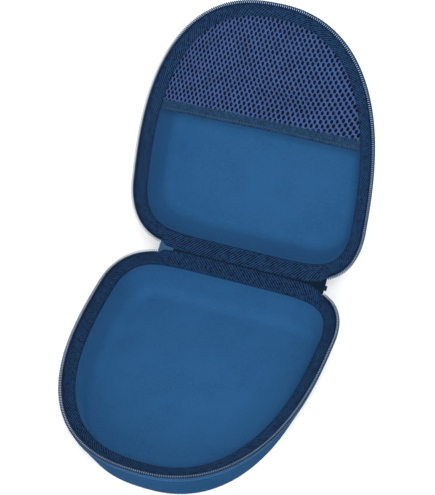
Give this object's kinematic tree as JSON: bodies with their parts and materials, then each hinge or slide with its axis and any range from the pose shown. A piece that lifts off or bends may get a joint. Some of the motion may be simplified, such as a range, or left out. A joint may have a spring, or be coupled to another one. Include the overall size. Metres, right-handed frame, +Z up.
{
  "type": "headphone carrying case",
  "caption": "Open zip-round moulded case for over-ear headphones: padded base and lid on a fabric hinge, soft lining, coil zip and a mesh pocket in the lid.",
  "frame": {"origin": "centre of the flat bottom of the base, on the surface the case stands on", "axes": "+Z up, +Y towards the hinge and the open lid, +X to the right of someone facing the open case"},
  "size_m": [0.2016, 0.3449, 0.233],
  "materials": {
    "foam": "matte",
    "outer_fabric": "matte",
    "lining": "matte",
    "zip_tape": "matte",
    "zip_teeth": "satin",
    "pocket_mesh": "matte",
    "pocket_hem": "matte",
    "dark_metal": "satin",
    "pull_grip": "matte"
  },
  "bodies": {
    "base": {"base_shell_core": "foam", "base_outer_fabric": "outer_fabric", "base_lining": "lining", "base_zip_tape": "zip_tape", "base_seam_strip": "outer_fabric", "base_zip_teeth": "zip_teeth", "base_hinge_strip": "outer_fabric"},
    "lid": {"lid_shell_core": "foam", "lid_outer_fabric": "outer_fabric", "lid_lining": "lining", "lid_zip_tape": "zip_tape", "lid_seam_strip": "outer_fabric", "lid_zip_teeth": "zip_teeth", "lid_hinge_strip": "outer_fabric", "mesh_pocket_net": "pocket_mesh", "mesh_pocket_hem": "pocket_hem"},
    "tail_left": {"zip_tail_left": "zip_teeth", "zip_stop_left": "dark_metal"},
    "tail_right": {"zip_tail_right": "zip_teeth", "zip_stop_right": "dark_metal"},
    "slider_left": {"slider_left": "dark_metal"},
    "slider_right": {"slider_right": "dark_metal"},
    "pull_left": {"pull_left": "dark_metal", "pull_grip_left": "pull_grip"},
    "pull_right": {"pull_right": "dark_metal", "pull_grip_right": "pull_grip"}
  },
  "joints": [
    {"name": "lid_hinge", "type": "hinge", "parent": "base", "child": "lid", "pos_m": [0, 0.10785, 0.0424], "axis": [1, 0, 0], "range_deg": [-10, 117.65]},
    {"name": "tail_turn_left", "type": "hinge", "parent": "base", "child": "tail_left", "pos_m": [-0.0608, 0.10785, 0.0424], "axis": [1, 0, 0], "range_deg": [-5.5, 59]},
    {"name": "tail_turn_right", "type": "hinge", "parent": "base", "child": "tail_right", "pos_m": [0.0684, 0.10785, 0.0424], "axis": [1, 0, 0], "range_deg": [-5.5, 59]},
    {"name": "slider_slide_left", "type": "slide", "parent": "tail_left", "child": "slider_left", "axis": [-1, 0, 0], "range_m": [0, 0.0065]},
    {"name": "slider_slide_right", "type": "slide", "parent": "tail_right", "child": "slider_right", "axis": [1, 0, 0], "range_m": [0, 0.0065]},
    {"name": "pull_swing_left", "type": "hinge", "parent": "slider_left", "child": "pull_left", "pos_m": [-0.0575, 0.1123, 0.03504], "axis": [0, 0.8556, 0.5177], "range_deg": [-80, 80]},
    {"name": "pull_swing_right", "type": "hinge", "parent": "slider_right", "child": "pull_right", "pos_m": [0.065, 0.1123, 0.03504], "axis": [0, 0.8556, 0.5177], "range_deg": [-80, 80]}
  ],
  "couplings": [
    {"joint": "tail_turn_left", "follows": "lid_hinge", "ratio": 0.5},
    {"joint": "tail_turn_right", "follows": "lid_hinge", "ratio": 0.5}
  ]
}
